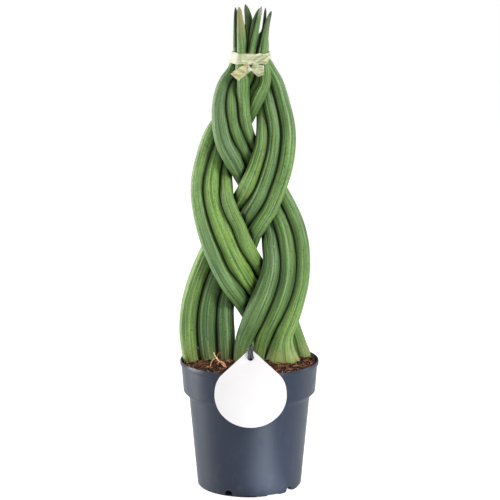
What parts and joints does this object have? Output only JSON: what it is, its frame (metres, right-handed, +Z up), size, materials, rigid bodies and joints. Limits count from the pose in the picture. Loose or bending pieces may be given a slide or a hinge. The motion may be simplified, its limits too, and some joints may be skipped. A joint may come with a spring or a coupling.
{
  "type": "potted twister snake plant",
  "caption": "Potted snake plant with round, grooved leaves plaited into a tall braid, tied with raffia under the tips, in a nursery pot with a blank hang tag on a thin cord.",
  "frame": {"origin": "on the ground under the middle of the pot", "axes": "+Z up; the front, where the tag hangs, faces -Y; +X to the right as seen from the front"},
  "size_m": [0.1206, 0.1235, 0.415],
  "materials": {
    "pot": "dark blue-grey moulded plastic, satin",
    "soil": "brown crumbly potting soil with fibres and chips",
    "leaf": "waxy green leaf with fine lengthwise grooves, satin",
    "raffia": "pale cream fibre ribbon, slightly glossy",
    "card": "white matt card",
    "cord": "black braided elastic"
  },
  "bodies": {
    "root": {"pot": "pot", "soil": "soil", "leaf_left_1": "leaf", "leaf_left_2": "leaf", "leaf_left_3": "leaf", "leaf_right_1": "leaf", "leaf_right_2": "leaf", "leaf_right_3": "leaf", "leaf_middle_1": "leaf", "leaf_middle_2": "leaf", "leaf_middle_3": "leaf", "raffia_tie": "raffia", "tag": "card", "tag_cord": "cord"}
  },
  "joints": []
}
